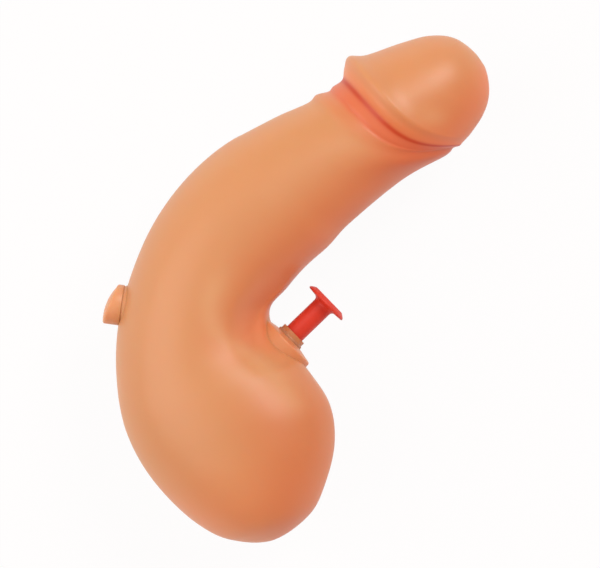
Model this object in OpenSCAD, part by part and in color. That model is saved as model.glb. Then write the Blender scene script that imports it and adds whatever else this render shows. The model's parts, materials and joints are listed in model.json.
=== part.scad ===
// Trigger-pumped water squirter, lying on its side.
// The body is two moulded half shells that meet in the plane of its outline.
// Inside are a plunger pump, its check valves, a dip tube, an outlet tube and a nozzle.

/* [Body line] */
// Straight length of the barrel, from the tip to the start of the bend
barrel_len = 68.9; // [62:0.5:78]
// Slope of the barrel in the plane of the outline
barrel_deg = 35; // [28:1:42]
// Radius of the bend at the middle line of the body
bend_r = 47.5; // [45:0.5:54]
// Angle that the body turns through in the bend
bend_deg = 72; // [68:1:78]
// Length of the grip, from the end of the bend to its base
grip_len = 45.2; // [43:0.1:52]
// Wall of the half shells
wall = 1.8; // [1.2:0.1:2.2]

/* [Body sections: half-widths to the back, to the belly and to the side] */
// Nose of the head, next to its tip
nose_section = [8.5, 5.2, 7.2]; // [4:0.1:10]
// Dome of the head
dome_section = [13.6, 9.9, 12.4]; // [9:0.1:15]
// Shoulder of the head
shoulder_section = [16.6, 13.1, 15.5]; // [11:0.1:19]
// Flare of the head, ahead of its rim
flare_section = [19.4, 15.2, 17.6]; // [14:0.1:21]
// Rim of the head
rim_section = [21.9, 15.8, 18.8]; // [15:0.1:23]
// Groove and neck behind the rim
neck_section = [17.5, 16.2, 16]; // [14:0.1:18]
// Ridge where the barrel starts
ridge_section = [18.3, 15.8, 16.5]; // [14:0.1:19]
// Middle of the barrel
barrel_section = [19.5, 15, 17.5]; // [14:0.1:21]
// Rear of the barrel
barrel_rear_section = [21.1, 16.9, 18.7]; // [15:0.1:22]
// Root of the barrel, at the start of the bend
root_section = [21.9, 18.9, 19.5]; // [17:0.1:23]
// Middle of the bend
bend_section = [22.7, 18.5, 20.4]; // [16:0.1:24]
// Crook, where the trigger finger goes
crook_section = [23.7, 16.8, 20.9]; // [14:0.1:25]
// Top of the grip, under the trigger
grip_top_section = [25.9, 24, 22]; // [20:0.1:28]
// Upper grip
grip_section = [27, 27.9, 22.8]; // [20:0.1:30]
// Widest part of the grip
lobe_section = [25.5, 30.6, 23]; // [20:0.1:32]
// Lower grip
low_section = [21.4, 28.6, 21.8]; // [17:0.1:30]
// Base of the grip
base_section = [15.3, 22.6, 17.9]; // [12:0.1:25]

/* [Body details] */
// Distance of the rim's groove from the tip, along the back
groove_at = 35; // [32:0.1:37]
// How far the groove sweeps forward on the belly side
rim_sweep = 16.4; // [9:0.1:17]
// How much further the ridge behind the neck sweeps forward
ridge_sweep = 7; // [2:0.5:8]
// How far the crook's crease runs down the sides
crook_sweep = 10; // [4:0.5:12]
// Depth of the crease in the crook, as a share of the section
crease_share = 0.06; // [0:0.01:0.12]
// Swelling of each lobe of the grip, as a share of the section
lobe_share = 0.05; // [0:0.01:0.08]
// Fullness of the flank of each lobe, as a share of the section
bulge_share = 0.19; // [0.1:0.01:0.22]
// Depth of the dip beside each lobe, as a share of the section
dip_share = 0.05; // [0:0.01:0.07]
// Depth of the furrow between the lobes
furrow_depth = 1.5; // [0.5:0.1:2.5]

/* [Trigger and pump] */
// Place of the trigger along the bend, from its start
trigger_bend_deg = 58.2; // [57:0.1:61]
// Direction that the trigger points in
trigger_deg = 44; // [40:1:48]
// How deep the trigger's seat plane lies under the belly line
seat_sink = 1.3; // [0.8:0.1:2]
// Travel of the trigger
stroke = 10; // [8:0.5:11]
// Radius of the trigger's stem
stem_r = 2.95; // [2.4:0.05:3]
// Radius of the trigger's finger disc
disc_r = 6.6; // [5.5:0.1:8]
// Gap that is left under the finger disc when the trigger is pushed in
disc_gap = 2.3; // [1.5:0.1:5]
// Thickness of the finger disc
disc_t = 1.9; // [1.4:0.1:2.4]
// Radius of the boss round the trigger
boss_r = 8.9; // [8:0.1:10]
// Height of the boss at its rim
boss_rim = 1.75; // [1.2:0.05:2.2]
// Height of the boss at its middle
boss_top = 2.6; // [2.4:0.05:3]
// Depth of the boss inside the body
boss_depth = 3; // [2.5:0.1:4]
// Radius of the collar's ring
collar_r = 4.6; // [4.4:0.1:5.5]
// Height of the collar's ring
collar_t = 1.3; // [1:0.1:2]
// Radius of the pump's bore
bore_r = 4.5; // [4.3:0.1:5]
// Wall of the pump barrel
pump_wall = 1.5; // [1.2:0.1:1.8]
// Length of the return spring when the trigger is pushed in
spring_closed = 6; // [5.5:0.1:7.5]

/* [Valves and tubes] */
// Radius of the check balls
ball_r = 2; // [1.8:0.05:2.1]
// Lift of the check balls
ball_lift = 1.2; // [0.8:0.1:1.4]
// Radius of the valve seats' holes
seat_hole_r = 1.2; // [1:0.05:1.4]
// Outer radius of the outlet tube
tube_r = 2; // [1.9:0.05:2.3]
// Bore radius of the outlet tube
tube_bore_r = 1.32; // [1.2:0.02:1.4]
// Outer radius of the dip tube
dip_r = 2.2; // [2.1:0.05:2.6]
// Bore radius of the dip tube
dip_bore_r = 1.62; // [1.5:0.02:1.8]
// Gap between the dip tube's end and the bottom of the grip
dip_gap = 3.5; // [3:0.1:6]
// Radius of the jet hole in the nozzle
jet_r = 0.75; // [0.5:0.05:1]
// Length of the jet hole
jet_len = 4.5; // [3.5:0.1:5]

/* [Fill hole] */
// Place of the fill hole along the bend, from its start
fill_bend_deg = 47.3; // [44:0.1:50]
// Bore radius of the fill neck
fill_r = 4; // [3.4:0.1:4.4]
// Radius of the fill neck's flange and of the plug's head
fill_flange_r = 5.7; // [5.4:0.1:6.4]
// Length of the fill neck inside its flange
neck_len = 7.2; // [6:0.1:9]
// Height of the plug's head at its thick side
plug_head = 4.1; // [3.4:0.1:5]

/* [Fits] */
// Radial clearance of pieces that slide or pull out
slide_gap = 0.05; // [0.02:0.01:0.1]
// Radial clearance of pieces that are pressed or bonded together
press_gap = 0.02; // [0.01:0.01:0.04]

/* [Hidden] */
$fn = 48;

// Colours of the materials
flesh = "#E59A6C";
red = "#DE4234";
tan_plastic = "#C9976F";
natural = "#E8E4DA";
clear_tube = "#DDE3E2";
rubber = "#3A3A3A";
steel = "#B8BCC0";

// The middle line of the body: a straight barrel, a bend about the frame's centre and a straight grip.
// s runs along it from the tip. The belly lies towards the centre of the bend, the back away from it.
bend_len = bend_r * bend_deg * PI / 180;
bend_end = barrel_len + bend_len;
body_len = bend_end + grip_len;
bend_start_polar = barrel_deg + 90;

function unit(deg) = [cos(deg), sin(deg)];
function clamp01(x) = min(1, max(0, x));
function ease(x) = clamp01(x) * clamp01(x) * (3 - 2 * clamp01(x));
function bell(x) = exp(-x * x);
function polar_of(s) = bend_start_polar + clamp01((s - barrel_len) / bend_len) * bend_deg;
function outward(s) = unit(polar_of(s));
function along(s) = unit(polar_of(s) + 90);
function line_at(s) =
  bend_r * outward(s) + (min(0, s - barrel_len) + max(0, s - bend_end)) * along(s);

// Stations along the middle line: place, then half-widths to the back, the belly and the side
crook_at = barrel_len + 0.58 * bend_len;
base_rise = 3.7;
base_cap = [8, 15.2, 11.8];
base_shift = 3.2;
nose_at = 0.063 * groove_at;
dome_at = 0.223 * groove_at;
shoulder_at = 0.45 * groove_at;
flare_at = 0.73 * groove_at;
rim_at = groove_at - 5.2;
lip_at = groove_at - 2.4;
neck_at = groove_at + 3.2;
ridge_at = groove_at + 8.4;
function row(s, section) = [s, section[0], section[1], section[2]];
STATIONS = [
  [0, 0, 0, 0],
  row(nose_at, nose_section),
  row(dome_at, dome_section),
  row(shoulder_at, shoulder_section),
  row(flare_at, flare_section),
  row(rim_at, rim_section),
  row(lip_at, rim_section + [-1.9, 0.3, -0.9]),
  row(groove_at, neck_section + [0.1, 0.2, 0.3]),
  row(neck_at, neck_section),
  row(ridge_at - 3.4, neck_section - [0.4, 0.1, 0.2]),
  row(ridge_at, ridge_section),
  row(ridge_at + 3.2, ridge_section + [-0.5, 0.6, -0.1]),
  row((ridge_at + barrel_len) / 2 - 1, barrel_section),
  row(barrel_len - 3.5, barrel_rear_section),
  row(barrel_len + 3.5, root_section),
  row(barrel_len + 0.33 * bend_len, bend_section),
  row(crook_at - 5.5, crook_section + [-0.5, -0.1, -0.2]),
  row(crook_at, crook_section),
  row(crook_at + 6, crook_section + [0.9, 2.1, 0.3]),
  row(bend_end - 8.2, grip_top_section),
  row(bend_end + 2.8, grip_section),
  row(bend_end + 13.8, lobe_section),
  row(body_len - 20.4, low_section),
  row(body_len - 10.4, base_section),
  row(body_len - base_rise, base_cap),
  [body_len, -base_shift, base_shift, 0]
];

// A smooth curve through the stations, carried on past each end as its own mirror image
LAST = len(STATIONS) - 1;
function beyond(r) = [r[0], -r[2], -r[1], -r[3]];
function station(k) =
  k < 0 ? beyond(STATIONS[-k]) : k > LAST ? beyond(STATIONS[2 * LAST - k]) : STATIONS[k];
function between(a, b, c, d, t) =
  b + 0.5 * t * (c - a + t * (2 * a - 5 * b + 4 * c - d + t * (3 * (b - c) + d - a)));
function section_at(u) =
  let (k = min(LAST - 1, floor(u)))
    between(station(k - 1), station(k), station(k + 1), station(k + 2), u - k);

// The place on the curve, in stations, where the middle line reaches s
function seek(s, low, high, tries) =
  let (mid = (low + high) / 2)
    tries == 0 ? mid
    : section_at(mid)[0] < s ? seek(s, mid, high, tries - 1) : seek(s, low, mid, tries - 1);
function section_of(s) = section_at(seek(s, 0, LAST, 24));

// Rings lean forward on the belly at the rim, and lean down on the sides at the crook
RIM_FADE = 38;
CROOK_REACH = 30;
function rim_lean(s, turn) =
  -pow((1 - cos(turn)) / 2, 3)
  * (s < groove_at ? rim_sweep * s / groove_at
    : s < ridge_at ? rim_sweep + ridge_sweep * (s - groove_at) / (ridge_at - groove_at)
    : (rim_sweep + ridge_sweep) * (1 - ease((s - ridge_at) / RIM_FADE)));
function crook_lean(s, turn) =
  crook_sweep * sin(turn) * pow(cos(90 * min(1, abs(s - crook_at) / CROOK_REACH)), 2);

// Crease in the crook, lobes of the grip, their full flanks with a dip beside, and the furrow between them
LOBE_AT = 15;
LOBE_REACH = 15;
CREASE_AHEAD = 3;
CREASE_REACH = 6;
function swell(s, turn) =
  1 + max(0, -sin(2 * turn))
  * (lobe_share * bell((s - bend_end - LOBE_AT) / LOBE_REACH)
    - crease_share * bell((s - crook_at + CREASE_AHEAD) / CREASE_REACH));
BULGE_TURN = 142;
BULGE_SPREAD = 36;
BULGE_AHEAD = 2;
BULGE_RISE = 12;
BULGE_END = 10;
BULGE_FALL = 30;
DIP_TURN = 102;
DIP_SPREAD = 15;
function bulge(s, turn) =
  (bulge_share * bell(pow((turn - BULGE_TURN) / BULGE_SPREAD, 2))
    - dip_share * bell((turn - DIP_TURN) / DIP_SPREAD))
  * ease((s - crook_at + BULGE_AHEAD) / BULGE_RISE) * ease((body_len - s - BULGE_END) / BULGE_FALL);
FURROW_SPREAD = 15;
FURROW_FROM = 12;
FURROW_RISE = 14;
function furrow(s, turn) =
  furrow_depth * bell((180 - turn) / FURROW_SPREAD)
  * ease((s - crook_at - FURROW_FROM) / FURROW_RISE) * ease((body_len - s) / FURROW_RISE);

// A point of the body's skin at ring u, turned from the back (0) over the side to the belly (180)
function skin(u, turn, inset) =
  let (
    r = section_at(u),
    cap = r[0] < neck_at ? neck_section : [99, 99, 99],
    end = u <= 0 || u >= LAST,
    back = inset > 0 ? min(r[1], cap[0]) - inset : r[1],
    belly = inset > 0 ? min(r[2], cap[1]) - inset : r[2],
    side = inset > 0 ? min(r[3], cap[2]) - inset : r[3],
    half = end ? 0 : max(0.2, (back + belly) / 2),
    middle = (r[2] - r[1]) / 2 * (inset > 0 && u < 3 ? u / 3 : 1),
    grown = end ? 0 : swell(r[0], turn),
    s = inset + r[0] * (1 - 2 * inset / body_len) + rim_lean(r[0], turn) + crook_lean(r[0], turn),
    q = middle - half * cos(turn) * grown - (end ? 0 : furrow(r[0], turn)),
    p = line_at(s) - q * outward(s)
  )
    [p.x, p.y, (end ? 0 : max(0.2, side)) * sin(turn) * (grown + bulge(r[0], turn))];

RING_STEPS = 3;
SIDES = 12;
RINGS = LAST * RING_STEPS;
function turn_of(j) = j == SIDES ? 180 : 180 * j / SIDES;
function layer(inset) = concat(
  [skin(0, 0, inset)],
  [for (i = [1:RINGS - 1]) for (j = [0:SIDES]) skin(i / RING_STEPS, turn_of(j), inset)],
  [skin(LAST, 0, inset)]
);

// Faces of one half shell: its outer skin, its inner skin and the rim in the parting plane
LAYER_SIZE = (RINGS - 1) * (SIDES + 1) + 2;
function spot(i, j) = i == 0 ? 0 : i == RINGS ? LAYER_SIZE - 1 : 1 + (i - 1) * (SIDES + 1) + j;
function skin_faces() = [
  for (i = [0:RINGS - 1]) for (j = [0:SIDES - 1]) each [
    if (i > 0) [spot(i, j), spot(i, j + 1), spot(i + 1, j)],
    if (i < RINGS - 1) [spot(i, j + 1), spot(i + 1, j + 1), spot(i + 1, j)]
  ]
];
function inside_out(f) = [f[2] + LAYER_SIZE, f[1] + LAYER_SIZE, f[0] + LAYER_SIZE];
function rim_faces(j, back) = [
  for (i = [0:RINGS - 1])
    let (a = spot(i, j), b = spot(i + 1, j), c = b + LAYER_SIZE, d = a + LAYER_SIZE)
      each back ? [[a, b, c], [a, c, d]] : [[c, b, a], [d, c, a]]
];

OUTER = layer(0);
INNER = layer(wall);
module bare_half() {
  faces = skin_faces();
  polyhedron(
    points = concat(OUTER, INNER),
    faces = concat(faces, [for (f = faces) inside_out(f)], rim_faces(0, true), rim_faces(SIDES, false))
  );
}

// Places of the trigger, the fill hole and the nozzle in the bend's frame
trigger_s = barrel_len + bend_r * trigger_bend_deg * PI / 180;
trigger_seat = (bend_r - section_of(trigger_s)[2] + seat_sink) * outward(trigger_s);
fill_s = barrel_len + bend_r * fill_bend_deg * PI / 180;
fill_polar = polar_of(fill_s);
fill_wall = bend_r + section_of(fill_s)[1];
tip = line_at(0);
into_barrel = barrel_deg + 180;

// Levels along the trigger's axis, measured outwards from its seat plane
gasket_t = 1;
pump_flange_t = 1.5;
pump_flange_r = 7.5;
pump_end_t = 2;
pump_r = bore_r + pump_wall;
spigot_len = 5;
spigot_step = 0.5;
spigot_r = bore_r + spigot_step;
pump_face = -boss_depth - gasket_t;
collar_end = pump_face - spigot_len;
seal_ease = 0.075;
seal_wire = (bore_r - stem_r) / 2 - seal_ease;
seal_room = 0.5;
piston_len = 4.5;
piston_face = collar_end - 2 * seal_wire - seal_room;
piston_end = piston_face - piston_len;
bore_end = piston_end - stroke - spring_closed;
pump_end = bore_end - pump_end_t;
disc_face = boss_top + collar_t + disc_gap + stroke + disc_t;
collar_neck_r = 3.8;

// The outlet tube leaves the bend's middle line straight towards the pump's axis, where both meet
outlet_turn_deg = 62;
outlet_polar = bend_start_polar + outlet_turn_deg;
outlet_deg = outlet_polar - 90;
outlet_start = bend_r * unit(outlet_polar);
function cross2(a, b) = a.x * b.y - a.y * b.x;
outlet_reach =
  cross2(outlet_start - trigger_seat, unit(trigger_deg)) / cross2(unit(outlet_deg), unit(trigger_deg));
junction = outlet_start - outlet_reach * unit(outlet_deg);
inlet_deg = bend_start_polar + bend_deg + 90;

// Levels along the inlet, measured down from the junction
socket_r = 4;
chamber_step = 0.5;
chamber_r = ball_r + chamber_step;
chamber_top = 8.2;
seat_gap = 0.03;
seat_rise = sqrt(ball_r * ball_r - seat_hole_r * seat_hole_r) + seat_gap;
lift_spare = 0.07;
inlet_ball_at = chamber_top + ball_lift + ball_r + lift_spare;
inlet_seat_at = inlet_ball_at + seat_rise;
seat_hole_len = 1.4;
inlet_seat_len = 2.9;
socket_end = inlet_seat_at + inlet_seat_len;
fitting_flange_t = 1.5;
barb_len = 6.5;
barb_bore_r = 0.8;
tube_gap = 0.2;
dip_top = socket_end + fitting_flange_t + tube_gap;
inlet_depth = (junction - line_at(bend_end)) * unit(inlet_deg);
dip_end = grip_len - wall - dip_gap - inlet_depth;

// Levels along the outlet spigot, measured up from the junction
spigot_base_r = 2.4;
spigot_base_spare = 0.1;
spigot_base_end =
  pump_r / sin(outlet_deg - trigger_deg) + tube_r / tan(outlet_deg - trigger_deg) + spigot_base_spare;
tube_end = spigot_base_end + tube_gap;
bend_clear = 0.4;
outlet_barb_end = outlet_reach - bend_clear;

// Levels along the nozzle, measured back from the tip
snout_face = 0.25;
snout_r = 2.4;
tip_pad_r = 5.2;
tip_pad_from = 2.2;
tip_pad_end = 4;
washer_t = 1;
nozzle_flange_r = 5;
nozzle_flange_at = tip_pad_end + washer_t;
nozzle_flange_t = 1.5;
nozzle_r = 3.6;
snout_edge = 0.2;
valve_step = 0.45;
valve_r = ball_r + valve_step;
jet_flare = 1.3;
valve_from = snout_face + jet_len + jet_flare;
coil_gap = 0.03;
outlet_spring_len = 4.4;
outlet_wire = 0.18;
outlet_coil_step = 0.3;
outlet_mean_r = ball_r - outlet_coil_step;
coil_to_ball = sqrt(pow(ball_r + outlet_wire, 2) - outlet_mean_r * outlet_mean_r);
outlet_ball_at = valve_from + outlet_spring_len - outlet_wire + coil_to_ball + 2 * coil_gap;
outlet_seat_at = outlet_ball_at + seat_rise;
outlet_seat_len = 2.7;
nozzle_end = outlet_seat_at + outlet_seat_len;
seat_flange_t = 1.5;
seat_flange_end = nozzle_end + seat_flange_t;
seat_barb_end = seat_flange_end + barb_len;
tube_front = seat_flange_end + tube_gap;

// Levels along the fill hole, measured out from the centre of the bend
neck_stand = 0.7;
neck_rim = fill_wall + neck_stand;
neck_flange_t = 3;
neck_step = neck_rim - neck_flange_t;
neck_wall = 0.8;
neck_r = fill_r + neck_wall;
pad_under = 3;
pad_from = neck_step - pad_under;
pad_sink = 2;
pad_end = fill_wall - pad_sink;
pad_margin = 1.8;
pad_r = fill_flange_r + pad_margin;
plug_dome_r = 14.3;
plug_dome_shift = 3.5;
plug_dome_at = neck_rim + plug_head - plug_dome_r;
plug_shank = 7.5;
plug_wall = 1.3;
plug_cup_r = fill_r - plug_wall;
plug_floor = 1;

// The part's frame: middle of its outline, on the surface that it lies on
plug_reach = (plug_dome_at * unit(fill_polar) + plug_dome_shift * unit(fill_polar + 90)).x - plug_dome_r;
frame_x = (plug_reach + max([for (p = OUTER) p.x])) / 2;
frame_y = (min([for (p = OUTER) p.y]) + max([for (p = OUTER) p.y])) / 2;
side_half = max([for (p = OUTER) p.z]);
frame_shift = [-frame_x, -frame_y, side_half];
module laid() {
  translate(frame_shift) children();
}

// Puts a piece that is made along +Z on a line in the parting plane
module aimed(p, deg) {
  translate([p.x, p.y, 0]) rotate([0, 90, deg]) children();
}
module on_trigger_axis() {
  aimed(trigger_seat, trigger_deg) children();
}
module on_nozzle_axis() {
  aimed(tip, into_barrel) children();
}
module on_inlet_axis() {
  aimed(junction, inlet_deg) children();
}
module on_outlet_axis() {
  aimed(junction, outlet_deg) children();
}
module on_fill_axis() {
  aimed([0, 0], fill_polar) children();
}

// How far a cut reaches past the face that it opens
OVERCUT = 1;

// A round bar between two levels
module bar(r, from, to) {
  translate([0, 0, from]) cylinder(r = r, h = to - from);
}
// A tube between two levels
module pipe(outer, inner, from, to) {
  rotate_extrude() translate([inner, from]) square([outer - inner, to - from]);
}
// A ring of round wire at one level
module ring(middle_r, wire_r, level) {
  translate([0, 0, level]) rotate_extrude() translate([middle_r, 0]) circle(r = wire_r, $fn = 24);
}

// A coil spring along +Z, from 0 to its length, as one swept wire
SPRING_STEPS = 12;
SPRING_SIDES = 6;
function coil_point(i, j, mean_r, wire_r, length, turns) =
  let (
    share = i / (turns * SPRING_STEPS),
    around = 360 * turns * share,
    tilt = 360 * j / SPRING_SIDES,
    reach = mean_r + wire_r * cos(tilt)
  )
    [reach * cos(around), reach * sin(around), wire_r + share * (length - 2 * wire_r) + wire_r * sin(tilt)];
module coil(mean_r, wire_r, length, turns) {
  rings = turns * SPRING_STEPS;
  n = SPRING_SIDES;
  polyhedron(
    points = [for (i = [0:rings]) for (j = [0:n - 1]) coil_point(i, j, mean_r, wire_r, length, turns)],
    faces = concat(
      [[for (j = [n - 1:-1:0]) j]],
      [for (i = [0:rings - 1]) for (j = [0:n - 1]) each [
        [(i + 1) * n + (j + 1) % n, (i + 1) * n + j, i * n + j],
        [i * n + (j + 1) % n, (i + 1) * n + (j + 1) % n, i * n + j]
      ]],
      [[for (j = [0:n - 1]) rings * n + j]]
    )
  );
}

// Pegs of the left shell and sockets of the right one, as [place, side of the middle line]
peg_r = 1.2;
peg_boss_r = 2.5;
peg_boss_depth = 5;
peg_rise = 3;
peg_root = 2;
peg_end_gap = 0.5;
front_pegs_at = ridge_at + 7;
middle_peg_at = barrel_len + 9;
rear_pegs_at = body_len - 22;
PEGS = [
  [front_pegs_at, -1], [front_pegs_at, 1], [middle_peg_at, -1],
  [rear_pegs_at, -1], [rear_pegs_at, 1]
];
function peg_spot(peg) =
  let (
    u = seek(peg[0], 0, LAST, 24),
    lift = asin(peg_boss_depth / section_at(u)[3]),
    p = skin(u, peg[1] < 0 ? lift : 180 - lift, 0.4 * wall)
  )
    [p.x, p.y] + peg[1] * peg_boss_r * outward(peg[0]);

// Depth of the body's side at a point of the parting plane in the bend
function side_at(p) =
  let (
    polar = atan2(p.y, p.x) + (p.y < 0 ? 360 : 0),
    s = barrel_len + clamp01((polar - bend_start_polar) / bend_deg) * bend_len,
    r = section_of(s),
    q = bend_r - norm(p),
    offset = (q - (r[2] - r[1]) / 2) / ((r[1] + r[2]) / 2),
    turn = acos(max(-1, min(1, -offset))),
    ring = s - crook_lean(s, turn)
  )
    r[3] * sin(turn) * (swell(ring, turn) + bulge(ring, turn));

// Saddles that carry the pump barrel, as blocks between the side wall and the barrel
saddle_t = 2;
saddle_w = 6;
first_saddle = 7;
second_saddle = 15;
SADDLES = [pump_face - first_saddle, pump_face - second_saddle];
saddle_lift = 1;
module saddle(level) {
  p = trigger_seat + level * unit(trigger_deg);
  lower = p - saddle_w / 2 * unit(trigger_deg - 90);
  upper = p + saddle_w / 2 * unit(trigger_deg - 90);
  depth = min(side_at(p), side_at(lower), side_at(upper)) - 0.7 * wall;
  translate([p.x, p.y, 0]) rotate(trigger_deg)
      translate([-saddle_t / 2, -saddle_w / 2, saddle_lift]) cube([saddle_t, saddle_w, depth - saddle_lift]);
}

// Fork that holds the nozzle's flange against its washer
fork_t = 1.5;
fork_w = 5;
fork_lift = 1;
module nozzle_fork() {
  at = nozzle_flange_at + nozzle_flange_t + press_gap;
  depth = section_of(at)[3] - wall / 2;
  translate([tip.x, tip.y, 0]) rotate(into_barrel)
      translate([at, -fork_w / 2, fork_lift]) cube([fork_t, fork_w, depth - fork_lift]);
}

// The half space above the parting plane
FAR = 200;
module upper_half() {
  intersection() {
    children();
    translate([-FAR, -FAR, 0]) cube([2 * FAR, 2 * FAR, FAR]);
  }
}

// The moulded bodies that a half shell carries, before its holes are cut
boss_edge = 0.3;
boss_crown = 0.15;
module shell_bosses() {
  upper_half() {
    on_trigger_axis() rotate_extrude()
        polygon([[0, -boss_depth], [boss_r, -boss_depth], [boss_r, boss_rim - boss_edge],
                 [boss_r - boss_edge, boss_rim],
                 [(boss_r + collar_r) / 2, (boss_rim + boss_top) / 2 + boss_crown],
                 [collar_r, boss_top], [0, boss_top]]);
    on_nozzle_axis() bar(tip_pad_r, tip_pad_from, tip_pad_end);
    on_fill_axis() bar(pad_r, pad_from, pad_end);
  }
  for (level = SADDLES) saddle(level);
  nozzle_fork();
  for (peg = PEGS) {
    p = peg_spot(peg);
    translate([p.x, p.y, 0]) cylinder(r = peg_boss_r, h = peg_boss_depth);
  }
}

// The holes of a half shell
module shell_holes() {
  on_trigger_axis() bar(collar_neck_r + slide_gap, -boss_depth - OVERCUT, boss_top + OVERCUT);
  on_trigger_axis() bar(pump_r + slide_gap, pump_end, pump_face);
  on_nozzle_axis() bar(snout_r + slide_gap, -OVERCUT, tip_pad_end + OVERCUT);
  on_nozzle_axis() bar(nozzle_flange_r + slide_gap, tip_pad_end, nozzle_flange_at + nozzle_flange_t);
  on_nozzle_axis() bar(nozzle_r + slide_gap, nozzle_flange_at, nozzle_end);
  on_fill_axis() bar(neck_r + slide_gap, pad_from - OVERCUT, neck_rim + OVERCUT);
  on_fill_axis() bar(fill_flange_r + slide_gap, neck_step, neck_rim + neck_flange_t);
}

module half_shell() {
  difference() {
    union() {
      bare_half();
      shell_bosses();
    }
    shell_holes();
  }
}

module right_shell() {
  color(flesh) laid() difference() {
    half_shell();
    for (peg = PEGS) {
      p = peg_spot(peg);
      translate([p.x, p.y, -OVERCUT]) cylinder(r = peg_r + slide_gap, h = OVERCUT + peg_rise + peg_end_gap);
    }
  }
}

module left_shell() {
  color(flesh) laid() mirror([0, 0, 1]) union() {
    half_shell();
    for (peg = PEGS) {
      p = peg_spot(peg);
      translate([p.x, p.y, -peg_rise]) cylinder(r = peg_r, h = peg_rise + peg_root);
    }
  }
}

// Push trigger: finger disc, stem and the tenon that the piston snaps on to
tenon_r = 1.6;
tenon_out = 0.6;
module trigger() {
  under = disc_face - disc_t;
  color(red) laid() on_trigger_axis() rotate_extrude()
      polygon([[0, piston_end - tenon_out], [tenon_r, piston_end - tenon_out], [tenon_r, piston_face],
               [stem_r, piston_face], [stem_r, under - 0.7], [stem_r + 0.25, under - 0.2],
               [stem_r + 0.9, under + 0.05], [disc_r - 0.3, under + 0.25], [disc_r, under + 0.5],
               [disc_r - 0.2, under + 0.9], [disc_r - 1.3, disc_face - 0.05], [disc_r - 1.8, disc_face],
               [0, disc_face]]);
}

// Bush that the stem slides in: ring outside, neck through the boss and spigot in the pump's mouth
collar_edge = 0.25;
collar_lead = 0.2;
module trigger_collar() {
  hole = stem_r + slide_gap;
  color(tan_plastic) laid() on_trigger_axis() rotate_extrude()
      polygon([[hole, collar_end], [spigot_r - press_gap, collar_end], [spigot_r - press_gap, pump_face],
               [collar_neck_r, pump_face], [collar_neck_r, boss_top], [collar_r, boss_top],
               [collar_r, boss_top + collar_t - collar_edge], [collar_r - collar_edge, boss_top + collar_t],
               [hole + collar_lead, boss_top + collar_t], [hole, boss_top + collar_t - collar_lead]]);
}

module stem_seal() {
  color(rubber) laid() on_trigger_axis()
      ring(stem_r + slide_gap + seal_wire, seal_wire, collar_end - seal_wire - press_gap);
}

module barrel_gasket() {
  color(rubber) laid() on_trigger_axis()
      pipe(pump_flange_r, collar_neck_r + slide_gap, pump_face, -boss_depth);
}

// Pump barrel: flanged cylinder with an inlet socket below and an outlet spigot above
module pump_barrel() {
  color(natural) laid() difference() {
    union() {
      on_trigger_axis() bar(pump_flange_r, pump_face - pump_flange_t, pump_face);
      on_trigger_axis() bar(pump_r, pump_end, pump_face - pump_flange_t);
      on_inlet_axis() bar(socket_r, 0, socket_end);
      on_outlet_axis() bar(spigot_base_r, 0, spigot_base_end);
      on_outlet_axis() bar(tube_bore_r - press_gap, 0, outlet_barb_end);
    }
    on_trigger_axis() bar(bore_r, bore_end, pump_face + OVERCUT);
    on_trigger_axis() bar(spigot_r, collar_end, pump_face + OVERCUT);
    on_inlet_axis() bar(seat_hole_r, 0, chamber_top + OVERCUT);
    on_inlet_axis() bar(chamber_r, chamber_top, socket_end + OVERCUT);
    on_outlet_axis() bar(barb_bore_r, 0, outlet_barb_end + OVERCUT);
  }
}

// Piston with the groove for its ring
ring_wire = 0.66;
module piston() {
  r = bore_r - slide_gap;
  groove_r = bore_r - press_gap - 2 * ring_wire - press_gap;
  middle = (piston_face + piston_end) / 2;
  half = ring_wire + press_gap;
  color(natural) laid() on_trigger_axis() rotate_extrude()
      polygon([[tenon_r + press_gap, piston_end], [r, piston_end], [r, middle - half],
               [groove_r, middle - half], [groove_r, middle + half], [r, middle + half], [r, piston_face],
               [tenon_r + press_gap, piston_face]]);
}

module piston_ring() {
  color(rubber) laid() on_trigger_axis()
      ring(bore_r - press_gap - ring_wire, ring_wire, (piston_face + piston_end) / 2);
}

spring_wire = 0.3;
spring_mean_r = 3.3;
spring_turns = 7;
spring_gap = 0.05;
module return_spring() {
  color(steel) laid() on_trigger_axis() translate([0, 0, bore_end + spring_gap])
      coil(spring_mean_r, spring_wire, piston_end - bore_end - 2 * spring_gap, spring_turns);
}

// Valve seat and barb in the pump's inlet socket
module inlet_fitting() {
  flange_end = socket_end + fitting_flange_t;
  color(natural) laid() on_inlet_axis() rotate_extrude()
      polygon([[seat_hole_r, inlet_seat_at], [chamber_r - press_gap, inlet_seat_at],
               [chamber_r - press_gap, socket_end], [socket_r, socket_end], [socket_r, flange_end],
               [dip_bore_r - press_gap, flange_end], [dip_bore_r - press_gap, flange_end + barb_len],
               [barb_bore_r, flange_end + barb_len], [barb_bore_r, inlet_seat_at + seat_hole_len],
               [seat_hole_r, inlet_seat_at + seat_hole_len]]);
}

module inlet_ball() {
  color(steel) laid() on_inlet_axis() translate([0, 0, inlet_ball_at]) sphere(r = ball_r);
}

module dip_tube() {
  color(clear_tube) laid() on_inlet_axis() pipe(dip_r, dip_bore_r, dip_top, dip_end);
}

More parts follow.
